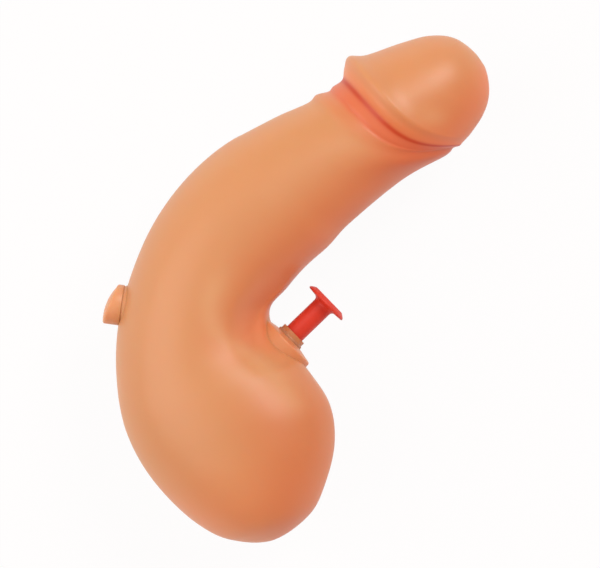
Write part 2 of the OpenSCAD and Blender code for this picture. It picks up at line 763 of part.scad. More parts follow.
// Outlet tube: straight on the pump's spigot, round the bend, and straight to the nozzle.
// Each stop of its path holds a point of the middle line and the direction away from the bend's centre.
TUBE_SIDES = 16;
TUBE_STEPS = 14;
tube_path = concat(
  [[junction + tube_end * unit(outlet_deg), unit(outlet_polar)]],
  [for (k = [0:TUBE_STEPS])
    let (way = outlet_polar - outlet_turn_deg * k / TUBE_STEPS) [bend_r * unit(way), unit(way)]],
  [[line_at(tube_front), unit(bend_start_polar)]]
);
function tube_ring(stop, r) = [
  for (j = [0:TUBE_SIDES - 1])
    let (way = 360 * j / TUBE_SIDES, p = stop[0] + r * cos(way) * stop[1])
      [p.x, p.y, r * sin(way)]
];
module outlet_tube() {
  n = TUBE_SIDES;
  last = len(tube_path) - 1;
  flat_r = tube_bore_r / cos(180 / n);
  rows = [for (stop = tube_path) each concat(tube_ring(stop, tube_r), tube_ring(stop, flat_r))];
  walls = [
    for (i = [0:last - 1]) for (j = [0:n - 1])
      let (k = (j + 1) % n, a = 2 * n * i, b = 2 * n * (i + 1))
        each [
          [a + j, b + j, b + k], [a + j, b + k, a + k],
          [b + n + k, b + n + j, a + n + j], [a + n + k, b + n + k, a + n + j]
        ]
  ];
  ends = [
    for (j = [0:n - 1])
      let (k = (j + 1) % n, b = 2 * n * last)
        each [
          [j, k, n + k], [j, n + k, n + j],
          [b + n + k, b + k, b + j], [b + n + j, b + n + k, b + j]
        ]
  ];
  color(clear_tube) laid() polyhedron(points = rows, faces = concat(walls, ends));
}

// Seat of the outlet ball, with the barb for the tube
module valve_seat() {
  color(natural) laid() on_nozzle_axis() rotate_extrude()
      polygon([[seat_hole_r, outlet_seat_at], [valve_r - press_gap, outlet_seat_at],
               [valve_r - press_gap, nozzle_end], [nozzle_r, nozzle_end], [nozzle_r, seat_flange_end],
               [tube_bore_r - press_gap, seat_flange_end], [tube_bore_r - press_gap, seat_barb_end],
               [barb_bore_r, seat_barb_end], [barb_bore_r, outlet_seat_at + seat_hole_len],
               [seat_hole_r, outlet_seat_at + seat_hole_len]]);
}

module outlet_ball() {
  color(steel) laid() on_nozzle_axis() translate([0, 0, outlet_ball_at]) sphere(r = ball_r);
}

outlet_turns = 5;
module outlet_spring() {
  color(steel) laid() on_nozzle_axis() translate([0, 0, valve_from + coil_gap])
      coil(outlet_mean_r, outlet_wire, outlet_spring_len, outlet_turns);
}

// Nozzle: snout in the tip, flange behind the washer and the valve's chamber
module nozzle() {
  flange_end = nozzle_flange_at + nozzle_flange_t;
  color(tan_plastic) laid() on_nozzle_axis() rotate_extrude()
      polygon([[jet_r, snout_face], [snout_r - snout_edge, snout_face], [snout_r, snout_face + snout_edge],
               [snout_r, nozzle_flange_at], [nozzle_flange_r, nozzle_flange_at],
               [nozzle_flange_r, flange_end], [nozzle_r, flange_end], [nozzle_r, nozzle_end],
               [valve_r, nozzle_end], [valve_r, valve_from], [jet_r, snout_face + jet_len]]);
}

module nozzle_washer() {
  color(rubber) laid() on_nozzle_axis()
      pipe(nozzle_flange_r, snout_r + slide_gap, tip_pad_end, tip_pad_end + washer_t);
}

// Bush in the fill hole: flange let into the shells and a neck inside
module fill_neck() {
  color(flesh) laid() on_fill_axis() rotate_extrude()
      polygon([[fill_r, neck_step - neck_len], [neck_r, neck_step - neck_len], [neck_r, neck_step],
               [fill_flange_r, neck_step], [fill_flange_r, neck_rim], [fill_r, neck_rim]]);
}

// Stopper: slanted, domed head with a thick lower lip and a cupped shank
module fill_plug() {
  color(flesh) laid() on_fill_axis() difference() {
    union() {
      intersection() {
        bar(fill_flange_r, neck_rim + slide_gap, neck_rim + plug_head);
        translate([0, plug_dome_shift, plug_dome_at]) sphere(r = plug_dome_r);
      }
      bar(fill_r - slide_gap, neck_rim - plug_shank, neck_rim + plug_floor);
    }
    bar(plug_cup_r, neck_rim - plug_shank - OVERCUT, neck_rim - plug_floor);
  }
}

left_shell();
right_shell();
trigger();
trigger_collar();
stem_seal();
barrel_gasket();
pump_barrel();
piston();
piston_ring();
return_spring();
inlet_fitting();
inlet_ball();
dip_tube();
outlet_tube();
valve_seat();
outlet_ball();
outlet_spring();
nozzle();
nozzle_washer();
fill_neck();
fill_plug();
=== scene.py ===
import json
import math

import bmesh
import bpy
import numpy as np
from mathutils import Matrix, Vector


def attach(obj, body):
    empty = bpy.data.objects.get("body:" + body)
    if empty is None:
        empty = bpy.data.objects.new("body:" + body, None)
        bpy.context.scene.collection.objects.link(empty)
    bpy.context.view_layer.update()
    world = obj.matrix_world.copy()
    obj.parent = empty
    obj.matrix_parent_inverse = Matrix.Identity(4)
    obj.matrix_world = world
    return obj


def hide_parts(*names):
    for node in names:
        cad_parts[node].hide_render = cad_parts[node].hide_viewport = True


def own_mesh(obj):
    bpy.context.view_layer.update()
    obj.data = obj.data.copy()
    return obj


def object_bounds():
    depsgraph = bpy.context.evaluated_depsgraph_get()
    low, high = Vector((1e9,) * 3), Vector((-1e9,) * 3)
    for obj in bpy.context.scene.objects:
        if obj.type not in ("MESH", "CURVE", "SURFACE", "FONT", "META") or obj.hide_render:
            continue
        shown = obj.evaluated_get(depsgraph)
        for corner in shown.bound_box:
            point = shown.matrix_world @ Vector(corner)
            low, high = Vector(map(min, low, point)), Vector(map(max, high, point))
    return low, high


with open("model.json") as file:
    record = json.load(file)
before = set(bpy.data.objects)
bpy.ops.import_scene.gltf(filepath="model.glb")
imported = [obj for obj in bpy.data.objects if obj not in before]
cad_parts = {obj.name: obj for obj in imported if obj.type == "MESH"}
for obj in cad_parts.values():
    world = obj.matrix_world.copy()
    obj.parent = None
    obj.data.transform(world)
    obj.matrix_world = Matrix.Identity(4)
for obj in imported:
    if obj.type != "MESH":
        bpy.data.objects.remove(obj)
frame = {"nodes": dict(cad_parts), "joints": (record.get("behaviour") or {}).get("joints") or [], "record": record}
cad_low, cad_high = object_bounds()
nodes = frame["nodes"]
record = frame["record"]


# The studio: a white sweep under the squirter, two large softboxes, from the left and from the upper
# right of the picture, a warm room, and a camera straight above, because the squirter lies on its side
# and the photograph looks square at the side that it shows.
MM = 0.001
PICTURE_WIDTH_MM = 168.0
PICTURE_CENTRE_MM = (1.13, 1.40)
CAMERA_DISTANCE_MM = 1000.0
SENSOR_MM = 36.0
CAMERA_REACH_M = 20.0
FLOOR_HALF_MM = 6000.0
FLOOR_DROP_MM = 0.05
ROOM_COLOUR, ROOM_STRENGTH = "#FFB098", 0.56
SOFTBOXES = (
    # Name, place in mm, size in mm, watts
    ("softbox_left", (-1530, 0, 1290), 2200, 21.0),
    ("softbox_right", (880, 1050, 1450), 1050, 17.6),
)


def linear(hex_colour):
    """An sRGB hex value as linear RGBA."""
    channels = [int(hex_colour[i:i + 2], 16) / 255 for i in (1, 3, 5)]
    return [c / 12.92 if c <= 0.04045 else ((c + 0.055) / 1.055) ** 2.4 for c in channels] + [1.0]


def add(tree, kind, inputs=None, **settings):
    """Adds a node, sets its settings, and links or sets its inputs."""
    node = tree.nodes.new(kind)
    for name, value in settings.items():
        setattr(node, name, value)
    for socket, value in (inputs or {}).items():
        if isinstance(value, bpy.types.NodeSocket):
            tree.links.new(value, node.inputs[socket])
        else:
            node.inputs[socket].default_value = value
    return node


def new_material(name):
    """An empty node material and its tree."""
    material = bpy.data.materials.new(name)
    material.use_nodes = True
    material.node_tree.nodes.clear()
    return material, material.node_tree


def mesh_object(name, points, faces):
    """A mesh object from points in millimetres of the row's frame."""
    mesh = bpy.data.meshes.new(name)
    mesh.from_pydata([[c * MM for c in p] for p in points], [], [list(f) for f in faces])
    mesh.update()
    piece = bpy.data.objects.new(name, mesh)
    bpy.context.scene.collection.objects.link(piece)
    return piece


scene = bpy.context.scene
scene.view_settings.view_transform = "Standard"

camera_data = bpy.data.cameras.new("camera")
camera_data.sensor_width = SENSOR_MM
camera_data.lens = SENSOR_MM * CAMERA_DISTANCE_MM / PICTURE_WIDTH_MM
camera_data.clip_end = CAMERA_REACH_M
camera = bpy.data.objects.new("camera", camera_data)
scene.collection.objects.link(camera)
outline_plane_mm = (cad_low.z + cad_high.z) / 2 / MM
camera.location = [c * MM for c in (*PICTURE_CENTRE_MM, outline_plane_mm + CAMERA_DISTANCE_MM)]
scene.camera = camera

# Painted sweep: white to the camera and in reflections, over a plain diffuse white that keeps the shadow.
SWEEP_SHOWN_WHITE, SWEEP_COAT = 0.95, "#F4F4F4"
material, tree = new_material("painted_sweep")
path = add(tree, "ShaderNodeLightPath")
seen = add(tree, "ShaderNodeMath", {0: path.outputs["Is Camera Ray"], 1: path.outputs["Is Glossy Ray"]},
           operation="MAXIMUM")
seen = add(tree, "ShaderNodeMath", {0: seen.outputs[0], 1: path.outputs["Is Transmission Ray"]},
           operation="MAXIMUM")
share = add(tree, "ShaderNodeMath", {0: seen.outputs[0], 1: SWEEP_SHOWN_WHITE}, operation="MULTIPLY")
coat = add(tree, "ShaderNodeBsdfDiffuse", {"Color": linear(SWEEP_COAT)})
white = add(tree, "ShaderNodeEmission", {"Color": (1, 1, 1, 1), "Strength": 1.0})
mixed = add(tree, "ShaderNodeMixShader", {0: share.outputs[0], 1: coat.outputs[0], 2: white.outputs[0]})
add(tree, "ShaderNodeOutputMaterial", {"Surface": mixed.outputs[0]})
corners = [(x * FLOOR_HALF_MM, y * FLOOR_HALF_MM, -FLOOR_DROP_MM)
           for x, y in ((-1, -1), (1, -1), (1, 1), (-1, 1))]
floor = mesh_object("floor", corners, [(0, 1, 2, 3)])
floor.data.materials.append(material)

world = bpy.data.worlds.new("studio")
world.use_nodes = True
world.node_tree.nodes.clear()
tree = world.node_tree
path = add(tree, "ShaderNodeLightPath")
seen = add(tree, "ShaderNodeMath", {0: path.outputs["Is Camera Ray"], 1: path.outputs["Is Transmission Ray"]},
           operation="MAXIMUM")
room = add(tree, "ShaderNodeBackground", {"Color": linear(ROOM_COLOUR), "Strength": ROOM_STRENGTH})
backdrop = add(tree, "ShaderNodeBackground", {"Color": (1, 1, 1, 1), "Strength": 1.0})
mixed = add(tree, "ShaderNodeMixShader", {0: seen.outputs[0], 1: room.outputs[0], 2: backdrop.outputs[0]})
add(tree, "ShaderNodeOutputWorld", {"Surface": mixed.outputs[0]})
scene.world = world

for name, place_mm, size_mm, watts in SOFTBOXES:
    lamp_data = bpy.data.lights.new(name, "AREA")
    lamp_data.shape = "DISK"
    lamp_data.size = size_mm * MM
    lamp_data.energy = watts
    lamp = bpy.data.objects.new(name, lamp_data)
    scene.collection.objects.link(lamp)
    lamp.location = [c * MM for c in place_mm]
    aim = Vector((0, 0, outline_plane_mm * MM)) - lamp.location
    lamp.rotation_euler = aim.to_track_quat("-Z", "Y").to_euler()


# Body halves: two thin shells of soft PVC, moulded in one colour and welded along the parting line.
# Their skin is a loft through sections along a line with a straight barrel, a bend and a straight grip.
# The back looks away from the bend's centre and the belly towards it, and rings lean at rim and crook.
BARREL_LEN, BARREL_DEG = 68.9, 35.0
BEND_R, BEND_DEG = 47.5, 72.0
GRIP_LEN = 45.2
WALL = 1.8
LEAST_HALF = 0.2
GROOVE_AT, RIM_SWEEP, RIDGE_SWEEP, RIM_FADE = 35.0, 16.4, 7.0, 38.0
RIM_EVEN, RIM_POWER = 0.2, 5
HEAD_CORE_ROWS = 3
CROOK_SWEEP, CROOK_REACH = 10.0, 30.0
LOBE_SHARE, LOBE_PAST_BEND, LOBE_REACH = 0.05, 15, 15
FURROW_DEPTH, FURROW_DEG, FURROW_PAST_CROOK, FURROW_FADE = 1.5, 15, 12, 14
VALLEY_SHARE, VALLEY_FROM, VALLEY_SPAN = 0.28, 115.0, 38.0
VALLEY_AHEAD, VALLEY_UP, VALLEY_DOWN = 8.5, 12.0, 40.0
VALLEY_NEAR, VALLEY_SPREAD = 9.0, 7.0
CREST_AHEAD, CREST_RISE, CREST_WIDTH = 4.7, 0.4, 1.1
CREASE_BEHIND, CREASE_DEPTH, CREASE_WIDTH = 4.5, 0.16, 0.7
bend_len = math.radians(BEND_DEG) * BEND_R
bend_end = BARREL_LEN + bend_len
body_len = bend_end + GRIP_LEN
crook_at = BARREL_LEN + 0.58 * bend_len
neck_at, ridge_at = GROOVE_AT + 3.2, GROOVE_AT + 8.4
neck_section = np.array([17.5, 16.2, 16.0])
# Place along the line, then half-widths to the back, the belly and the side
stations = np.array([
    [0, 0, 0, 0],
    [0.063 * GROOVE_AT, 8.5, 5.2, 7.2],
    [0.223 * GROOVE_AT, 13.6, 9.9, 12.4],
    [0.45 * GROOVE_AT, 16.6, 13.1, 15.5],
    [0.73 * GROOVE_AT, 19.4, 15.2, 17.6],
    [GROOVE_AT - 5.2, 21.9, 15.8, 18.8],
    [GROOVE_AT - 2.4, 20.0, 16.1, 17.9],
    [GROOVE_AT, 17.6, 16.4, 16.3],
    [neck_at, 17.5, 16.2, 16.0],
    [ridge_at - 3.4, 17.1, 16.1, 16.0],
    [ridge_at, 18.3, 15.8, 16.25],
    [ridge_at + 3.2, 17.8, 16.4, 16.5],
    [(ridge_at + BARREL_LEN) / 2 - 1, 19.5, 15.0, 17.5],
    [BARREL_LEN - 3.5, 20.9, 16.5, 18.7],
    [BARREL_LEN + 3.5, 21.75, 18.8, 19.5],
    [BARREL_LEN + 0.33 * bend_len, 22.7, 18.65, 20.4],
    [crook_at - 5.5, 23.2, 16.7, 20.7],
    [crook_at, 23.7, 16.8, 20.9],
    [crook_at + 6, 24.6, 18.9, 21.2],
    [bend_end - 8.2, 25.9, 24.0, 22.0],
    [bend_end + 2.8, 27.0, 27.9, 22.8],
    [bend_end + 13.8, 25.5, 30.6, 23.0],
    [body_len - 20.4, 21.4, 28.6, 21.8],
    [body_len - 10.4, 15.3, 22.6, 17.9],
    [body_len - 3.7, 8.0, 15.2, 11.8],
    [body_len, -3.2, 3.2, 0],
])
LAST = len(stations) - 1


def clamp01(x):
    return np.clip(x, 0, 1)


def ease(x):
    return clamp01(x) ** 2 * (3 - 2 * clamp01(x))


def bell(x):
    return np.exp(-np.square(x))


def polar(s):
    """Direction from the bend's centre to the middle line at s, in radians."""
    return np.radians(BARREL_DEG + 90 + clamp01((s - BARREL_LEN) / bend_len) * BEND_DEG)


def on_line(s, outward):
    """The point that lies outward of the middle line at s, in the bend's own frame."""
    a = polar(s)
    straight = np.minimum(0, s - BARREL_LEN) + np.maximum(0, s - bend_end)
    reach = BEND_R + outward
    return np.stack([reach * np.cos(a) - straight * np.sin(a), reach * np.sin(a) + straight * np.cos(a)], -1)


# The part's frame: the jet hole is stated on the nozzle's axis, 2.5 mm behind the tip, and the finger disc
# on the trigger's axis, 18.1 mm outside the seat of its boss
JET_BEHIND_TIP, DISC_FACE = 2.5, 18.1
mounts = {m["name"]: m for m in record["mounts"]}
jet, press = mounts["jet_bore"], mounts["finger_disc"]
barrel_dir, trigger_axis = np.array(jet["axis"]), np.array(press["axis"])
tip = np.array(jet["pos_m"]) / MM + JET_BEHIND_TIP * barrel_dir
seat = np.array(press["pos_m"]) / MM - DISC_FACE * trigger_axis
bend_centre = tip - np.array([*on_line(np.array(0.0), np.array(0.0)), 0.0])


def mirrored(row):
    """A station's mirror image, which carries the sections on past an end."""
    return [row[0], -row[2], -row[1], -row[3]]


def sections(u):
    """Place and half-widths at u stations from the tip, on a smooth curve through the stations."""
    rows = np.array([mirrored(stations[1]), *stations, mirrored(stations[-2])])
    k = np.minimum(LAST - 1, np.floor(u)).astype(int)
    t = (u - k)[..., None]
    a, b, c, d = (rows[k + i] for i in range(4))
    return b + 0.5 * t * (c - a + t * (2 * a - 5 * b + 4 * c - d + t * (3 * (b - c) + d - a)))


def skin(u, turn, inset=0.0, ease_in=0.0):
    """Skin points and their s, at ring u and at a turn from the back (0) over the side to the belly (pi)."""
    s, back, belly, side = np.moveaxis(sections(u), -1, 0)
    middle = (belly - back) / 2
    if inset:
        capped = s < neck_at
        back, belly, side = (np.where(capped, np.minimum(w, n), w) - inset
                             for w, n in zip((back, belly, side), neck_section))
        middle = middle * np.where(u < HEAD_CORE_ROWS, u / HEAD_CORE_ROWS, 1)
    else:
        line = CREST_RISE * bell((s - GROOVE_AT + CREST_AHEAD) / CREST_WIDTH)
        line = line - CREASE_DEPTH * bell((s - GROOVE_AT - CREASE_BEHIND) / CREASE_WIDTH)
        side = side + line * np.sin(turn)
    end = (u <= 0) | (u >= LAST)
    half = np.where(end, 0, np.maximum(LEAST_HALF, (back + belly) / 2)) - ease_in
    side = np.where(end, 0, np.maximum(LEAST_HALF, side))
    forward = (1 - np.cos(turn)) / 2
    forward = RIM_EVEN * forward + (1 - RIM_EVEN) * forward ** RIM_POWER
    rim = np.where(s < GROOVE_AT, RIM_SWEEP * s / GROOVE_AT, RIM_SWEEP
                   + RIDGE_SWEEP * clamp01((s - GROOVE_AT) / (ridge_at - GROOVE_AT)))
    rim = rim * (1 - ease((s - ridge_at) / RIM_FADE))
    crook = CROOK_SWEEP * np.sin(turn) * np.cos(np.pi / 2 * clamp01(np.abs(s - crook_at) / CROOK_REACH)) ** 2
    lobe = LOBE_SHARE * bell((s - bend_end - LOBE_PAST_BEND) / LOBE_REACH)
    swell = 1 + np.maximum(0, -np.sin(2 * turn)) * lobe
    past = s - crook_at + VALLEY_AHEAD
    valley = np.where(past < 0, bell(past / VALLEY_UP), clamp01(1 - past / VALLEY_DOWN))
    valley = VALLEY_SHARE * valley * ease((np.degrees(turn) - VALLEY_FROM) / VALLEY_SPAN)
    furrow = FURROW_DEPTH * bell(np.degrees(np.pi - turn) / FURROW_DEG)
    furrow = furrow * ease((s - crook_at - FURROW_PAST_CROOK) / FURROW_FADE)
    furrow = furrow * ease((body_len - s) / FURROW_FADE)
    along = inset + s * (1 - 2 * inset / body_len) - forward * rim + crook
    q = middle - half * np.cos(turn) * swell - np.where(end, 0, furrow)
    flat = on_line(along, -q)
    points = np.concatenate([flat, (side * np.sin(turn) * swell)[..., None]], -1)
    off_axis = np.linalg.norm(np.cross(points + bend_centre - seat, trigger_axis), axis=-1)
    points[..., 2] *= 1 - valley * ease((off_axis - VALLEY_NEAR) / VALLEY_SPREAD)
    return points, s


# Rings along the skin, closer together round the rim and the neck, and columns round one half
RING_STEPS = [10, 8, 8, 8, 10, 10, 10, 10, 10, 12, 10, 10, 9, 8, 10, 8, 8, 8, 9, 9, 9, 9, 9, 9, 10]
SIDE_STEPS = 72
# The parting line's rounding: heights above the parting plane, how far the skin drops there, and the largest
# share of a section's depth that they may take near the ends
SEAM_HEIGHTS = np.array([0.02, 0.1, 0.24, 0.5])
SEAM_DROPS = np.array([0.26, 0.15, 0.05, 0.0])
SEAM_MOST = 0.3
ring_u = np.concatenate([k + np.arange(n) / n for k, n in enumerate(RING_STEPS)])[1:]
side_now = sections(ring_u)[:, 3]
edge_turn = np.arcsin(np.minimum(SEAM_MOST, SEAM_HEIGHTS[None] / side_now[:, None]))
middle_share = np.arange(1, SIDE_STEPS) / SIDE_STEPS
first, last_turn = edge_turn[:, -1:], np.pi - edge_turn[:, -1:]
side_turn = first + (last_turn - first) * middle_share
ring_turn = np.concatenate([edge_turn, side_turn, np.pi - edge_turn[:, ::-1]], 1)
ring_drop = np.concatenate([SEAM_DROPS, np.zeros(SIDE_STEPS - 1), SEAM_DROPS[::-1]])
COLUMNS = ring_turn.shape[1]
u_grid = np.repeat(ring_u[:, None], COLUMNS, 1)
outer, s_grid = skin(u_grid, ring_turn, 0.0, ring_drop[None])
inner, _ = skin(u_grid, ring_turn, WALL)
outer[:, 0, 2] = outer[:, -1, 2] = SEAM_HEIGHTS[0]
inner[:, 0, 2] = inner[:, -1, 2] = SEAM_HEIGHTS[0]


def pole(u, inset):
    point = skin(np.array([float(u)]), np.array([0.0]), inset)[0][0]
    return [point[0], point[1], SEAM_HEIGHTS[0]]


layer_points = []
for grid, inset in ((outer, 0.0), (inner, WALL)):
    layer_points += [pole(0, inset), *grid.reshape(-1, 3), pole(LAST, inset)]
RINGS = len(ring_u)
LAYER = RINGS * COLUMNS + 2


def spot(i, j):
    return 0 if i < 0 else LAYER - 1 if i >= RINGS else 1 + i * COLUMNS + j


skin_faces = []
for i in range(-1, RINGS):
    for j in range(COLUMNS - 1):
        loop = [spot(i, j), spot(i, j + 1), spot(i + 1, j + 1), spot(i + 1, j)]
        skin_faces.append(list(dict.fromkeys(loop)))
shell_faces = [f[::-1] for f in skin_faces] + [[v + LAYER for v in f] for f in skin_faces]
for j, flip in ((0, False), (COLUMNS - 1, True)):
    for i in range(-1, RINGS):
        loop = [spot(i, j), spot(i + 1, j), spot(i + 1, j) + LAYER, spot(i, j) + LAYER]
        shell_faces.append(loop[::-1] if flip else loop)

# Sprayed red and painted light. Sprayed: a band behind the rim, a faint haze behind it, and a dark line in the
# groove that is partly sprayed red gathered there and partly painted shade under the rim's overhang. Painted
# light: light on the rim's back wall ahead of the groove; shade, redder and darker, on the belly side behind the
# band (there partly overspray), along the belly side of the barrel, in the crook, on the lobe and at the bottom
# end; and highlights, a streak along the lobe below the crook and a patch on the head.
# The head is a little redder all over. Each is a share that rides on the mesh, set by millimetres behind the
# groove or past the crook, and by degrees from the back.
turn_grid = np.degrees(ring_turn)
behind = s_grid - GROOVE_AT
past_crook = s_grid - crook_at
painted_highlight_turn = 98 + 31 * ease((past_crook + 12) / 26)
paint_shares = {
    "band": ease((behind + 0.9) / 1.1) * (1 - ease((behind - 3.9) / 2.6)),
    # Sprayed red that gathers in the groove, and painted shade under the rim's overhang
    "groove_line": bell((behind - 0.1) / 0.8),
    # Painted light on the rim's back wall, which faces away from the lamps
    "rim_painted_light": ease((behind + 5.0) / 4.6) * (behind <= 0),
    "rim_haze": bell((behind - 6.5) / 3.0) * (behind > 0),
    # Red haze on the belly side behind the band: partly overspray, partly painted shade
    "flush": bell((behind - 9.5) / 9.0) * ease((turn_grid - 92) / 50) * (behind > 0),
    # Painted shade: redder and darker on the belly side, most along the barrel
    "belly_painted_shade": ease((turn_grid - 82) / 75) * (1 - 0.7 * ease(past_crook / 20)),
    # Painted shade in the crook
    "crook_painted_shade": bell((past_crook + 2) / 17) * ease((turn_grid - 70) / 80),
    # Painted shade, redder and darker, on the lobe's belly side
    "lobe_painted_shade": ease((past_crook - 20) / 20) * ease((turn_grid - 72) / 46),
    # Painted shade, redder, at the bottom end
    "end_painted_shade": ease((past_crook - 38) / 24),
    "head_haze": ease(-behind / 4),
    # Painted highlights: a streak along the lobe below the crook, and a patch on the head
    "painted_highlight": np.maximum(
        bell((turn_grid - painted_highlight_turn) / 9)
        * ease((past_crook + 18) / 8) * (1 - ease((past_crook - 32) / 10)),
        bell((turn_grid - 118) / 12) * bell((behind + 10.5) / 3.5))}


AXIS_R = 1e-6


def turned_points(profile, origin, axis, segments):
    """Points and faces of a profile of (radius, level) corners turned about an axis; it closes on itself."""
    axis = Vector(axis).normalized()
    sideways = axis.orthogonal().normalized()
    across = axis.cross(sideways)
    points, rings, faces = [], [], []
    for r, level in profile:
        count = 1 if r < AXIS_R else segments
        rings.append(list(range(len(points), len(points) + count)))
        for k in range(count):
            a = 2 * math.pi * k / segments
            points.append(Vector(origin) + axis * level + (sideways * math.cos(a) + across * math.sin(a)) * r)
    for p, q in zip(rings, rings[1:] + rings[:1]):
        for k in range(segments):
            n = (k + 1) % segments
            loop = [p[k % len(p)], p[n % len(p)], q[n % len(q)], q[k % len(q)]]
            loop = list(dict.fromkeys(loop))
            if len(loop) > 2:
                faces.append(loop)
    return points, faces


ARC_STEPS = 6


def rounded(corners):
    """A profile with its corners rounded; a corner is (radius, level) or (radius, level, rounding)."""
    out = []
    for k, corner in enumerate(corners):
        p = Vector(corner[:2])
        r = corner[2] if len(corner) > 2 else 0
        if not r:
            out.append(tuple(p))
            continue
        a = (Vector(corners[k - 1][:2]) - p).normalized()
        b = (Vector(corners[(k + 1) % len(corners)][:2]) - p).normalized()
        half = math.acos(max(-1, min(1, a.dot(b)))) / 2
        reach = r / math.tan(half)
        centre = p + (a + b).normalized() * (r / math.sin(half))
        start, end = p + a * reach - centre, p + b * reach - centre
        sweep = start.angle_signed(end)
        for i in range(ARC_STEPS + 1):
            turn = Matrix.Rotation(-sweep * i / ARC_STEPS, 2)
            out.append(tuple(centre + turn @ start))
    return out


def turned(name, corners, origin, axis, segments=96):
    """A turned piece from rounded corners, smooth but for its sharp edges."""
    points, faces = turned_points(rounded(corners), origin, axis, segments)
    piece = mesh_object(name, points, faces)
    shape = bmesh.new()
    shape.from_mesh(piece.data)
    bmesh.ops.recalc_face_normals(shape, faces=shape.faces)
    shape.to_mesh(piece.data)
    shape.free()
    smooth(piece)
    return piece


def smooth(piece, sharp_deg=34):
    """Smooth shading but for edges sharper than an angle."""
    piece.data.polygons.foreach_set("use_smooth", [True] * len(piece.data.polygons))
    piece.data.set_sharp_from_angle(angle=math.radians(sharp_deg))


def finish_piece(piece, material, body, slot, *replaced):
    """Gives a piece its material and its body, and hides the nodes that it stands for. The slot is not used."""
    piece.data.materials.clear()
    piece.data.materials.append(material)
    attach(piece, body)
    if replaced:
        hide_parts(*replaced)


# Soft PVC, moulded against a fine-blasted tool: satin, a little cloudy, and redder where light has gone
# through more of it. The blast grain is about 0.15 mm; it is drawn at 0.6 mm, the finest that shows.
PVC_GRAIN_MM, PVC_CLOUD_MM, PVC_WAVE_MM = 0.6, 16.0, 9.0
# Share on the mesh, tint, and how much of the tint a full share gives
# Besides the sprayed band, groove line and hazes, the tints give painted shade on the belly, crook, lobe and
# bottom end, painted light on the rim's back wall and painted highlights along the lobe and on the head
PAINTS = (("belly_painted_shade", "#F58350", 0.44), ("rim_painted_light", "#FF8E54", 0.45),
          ("rim_haze", "#DC7448", 0.35), ("flush", "#D9714A", 0.6),
          ("crook_painted_shade", "#F07C4C", 0.08), ("lobe_painted_shade", "#D27C4C", 0.42), ("end_painted_shade", "#F0A06C", 0.4),
          ("head_haze", "#E47A4C", 0.08), ("painted_highlight", "#E8D2A0", 0.27), ("band", "#DE744E", 0.75),
          ("groove_line", "#C84A24", 0.95))


def noise(tree, size_mm, **inputs):
    """A noise with grains of about size_mm, fixed to the piece."""
    place = add(tree, "ShaderNodeTexCoord").outputs["Object"]
    return add(tree, "ShaderNodeTexNoise", {"Vector": place, "Scale": 1 / (size_mm * MM), **inputs}).outputs[0]


def blend(tree, share, *colours):
    """A colour between two, each given as a hex value or as a socket."""
    first, second = (linear(c) if isinstance(c, str) else c for c in colours)
    return add(tree, "ShaderNodeMix", {0: share, 6: first, 7: second}, data_type="RGBA").outputs[2]


def spread(tree, pattern, low, high):
    """A roughness from low to high over the middle of a pattern's range, where nearly all of it lies."""
    return add(tree, "ShaderNodeMapRange", {0: pattern, 1: 0.3, 2: 0.7, 3: low, 4: high}).outputs[0]


def bumped(tree, height, strength, depth_mm=0.1, **under):
    """A normal that a pattern makes uneven."""
    inputs = {"Height": height, "Strength": strength, "Distance": depth_mm * MM, **under}
    return add(tree, "ShaderNodeBump", inputs).outputs[0]


def surface(tree, inputs):
    """The material's one surface and its output."""
    shader = add(tree, "ShaderNodeBsdfPrincipled", inputs)
    add(tree, "ShaderNodeOutputMaterial", {"Surface": shader.outputs[0]})


def moulded_pvc(name, dark, light, paints=()):
    """Soft PVC in clouds of two close colours, with sprayed paints, painted shade and painted highlights over
    them.
    """
    material, tree = new_material(name)
    cloud = noise(tree, PVC_CLOUD_MM, Detail=3.0, Roughness=0.5)
    colour = blend(tree, cloud, dark, light)
    for attribute, tint, most in paints:
        share = add(tree, "ShaderNodeAttribute", attribute_name=attribute)
        share = add(tree, "ShaderNodeMath", {0: share.outputs["Fac"], 1: most}, operation="MULTIPLY")
        colour = blend(tree, share.outputs[0], colour, tint)
    wavy = bumped(tree, noise(tree, PVC_WAVE_MM, Detail=1.0), 0.12, 0.5)
    grainy = bumped(tree, noise(tree, PVC_GRAIN_MM, Detail=2.0), 0.06, Normal=wavy)
    surface(tree, {"Base Color": colour, "Roughness": spread(tree, cloud, 0.4, 0.46), "Normal": grainy,
                   "IOR": 1.53, "Subsurface Weight": 0.3, "Subsurface Radius": (1.0, 0.35, 0.15),
                   "Subsurface Scale": 3 * MM})
    return material


pvc = moulded_pvc("moulded_pvc", "#D4A36F", "#D8A976", PAINTS)

# Levels of the trigger's boss and of the fill hole along their axes, and the holes' radii
plug_axis = np.array(next(j for j in frame["joints"] if j["name"] == "plug_pull")["axis"])
FILL_BEND_DEG = 47.3
fill_s = BARREL_LEN + BEND_R * math.radians(FILL_BEND_DEG)
u_table = np.linspace(0, LAST, 4001)
s_table = sections(u_table)[:, 0]
fill_u = np.interp(fill_s, s_table, u_table)
fill_wall = BEND_R + sections(np.array([fill_u]))[0, 1]
NECK_PROUD = 0.7
neck_rim = fill_wall + NECK_PROUD
COLLAR_HOLE_R, TIP_HOLE_R, FILL_HOLE_R = 3.85, 2.45, 5.75
BOSS_R, BOSS_RIM, BOSS_TOP, BOSS_DEPTH = 8.9, 1.75, 2.6, 3.0
COLLAR_R = 4.2
boss_profile = rounded([
    (0, -BOSS_DEPTH), (BOSS_R + 0.4, -BOSS_DEPTH), (BOSS_R + 0.15, -0.6), (BOSS_R, BOSS_RIM, 0.7),
    (COLLAR_R + 0.6, BOSS_TOP - 0.1, 0.8), (COLLAR_R, BOSS_TOP), (0, BOSS_TOP)])


